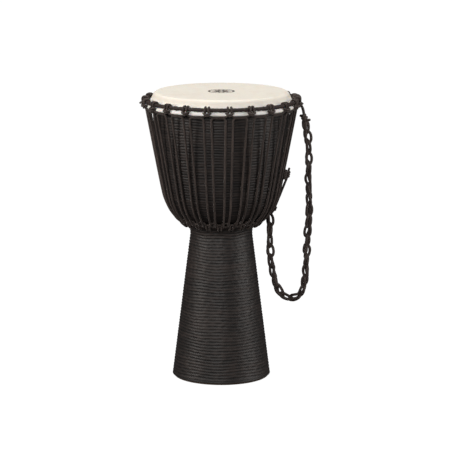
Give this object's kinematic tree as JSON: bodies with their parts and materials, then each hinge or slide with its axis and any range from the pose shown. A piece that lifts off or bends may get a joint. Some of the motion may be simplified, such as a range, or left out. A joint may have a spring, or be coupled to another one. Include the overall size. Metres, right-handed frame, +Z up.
{
  "type": "djembe",
  "caption": "Goblet-shaped hand drum: carved ribbed shell open at the foot, stretched skin head, wrapped rings, rope lacing and a hanging rope chain strap.",
  "frame": {"origin": "centre of the foot's flat underside", "axes": "+Z up along the drum's axis, -Y towards the viewer's side, the strap hangs on the +X side"},
  "size_m": [0.3625, 0.3354, 0.61],
  "materials": {
    "shell_wood": "satin black-brown stain over hand-gouged level ribs",
    "skin": "matt off-white shaved skin",
    "steel": "plain drawn rod",
    "tape": "wound black cotton tape",
    "rope": "braided dark brown-black cord"
  },
  "bodies": {
    "drum": {"shell": "shell_wood", "drum_head": "skin", "flesh_ring": "steel", "crown_ring": "steel", "crown_ring_tape": "tape", "bottom_ring": "steel", "bottom_ring_tape": "tape", "crown_loops": "rope", "bottom_loops": "rope", "lacing": "rope", "strap_hitch": "rope", "strap_foot_knot": "rope", "tie_off_knot": "rope", "pull_rope": "rope"},
    "strap": {"strap_lead": "rope", "strap_knot": "rope", "strap_chain": "rope"}
  },
  "joints": [
    {"name": "strap_swing", "type": "hinge", "parent": "drum", "child": "strap", "pos_m": [0.1664, 0.0175, 0.58], "axis": [0.2493, -0.0924, 0.964], "range_deg": [-40, 60]}
  ]
}
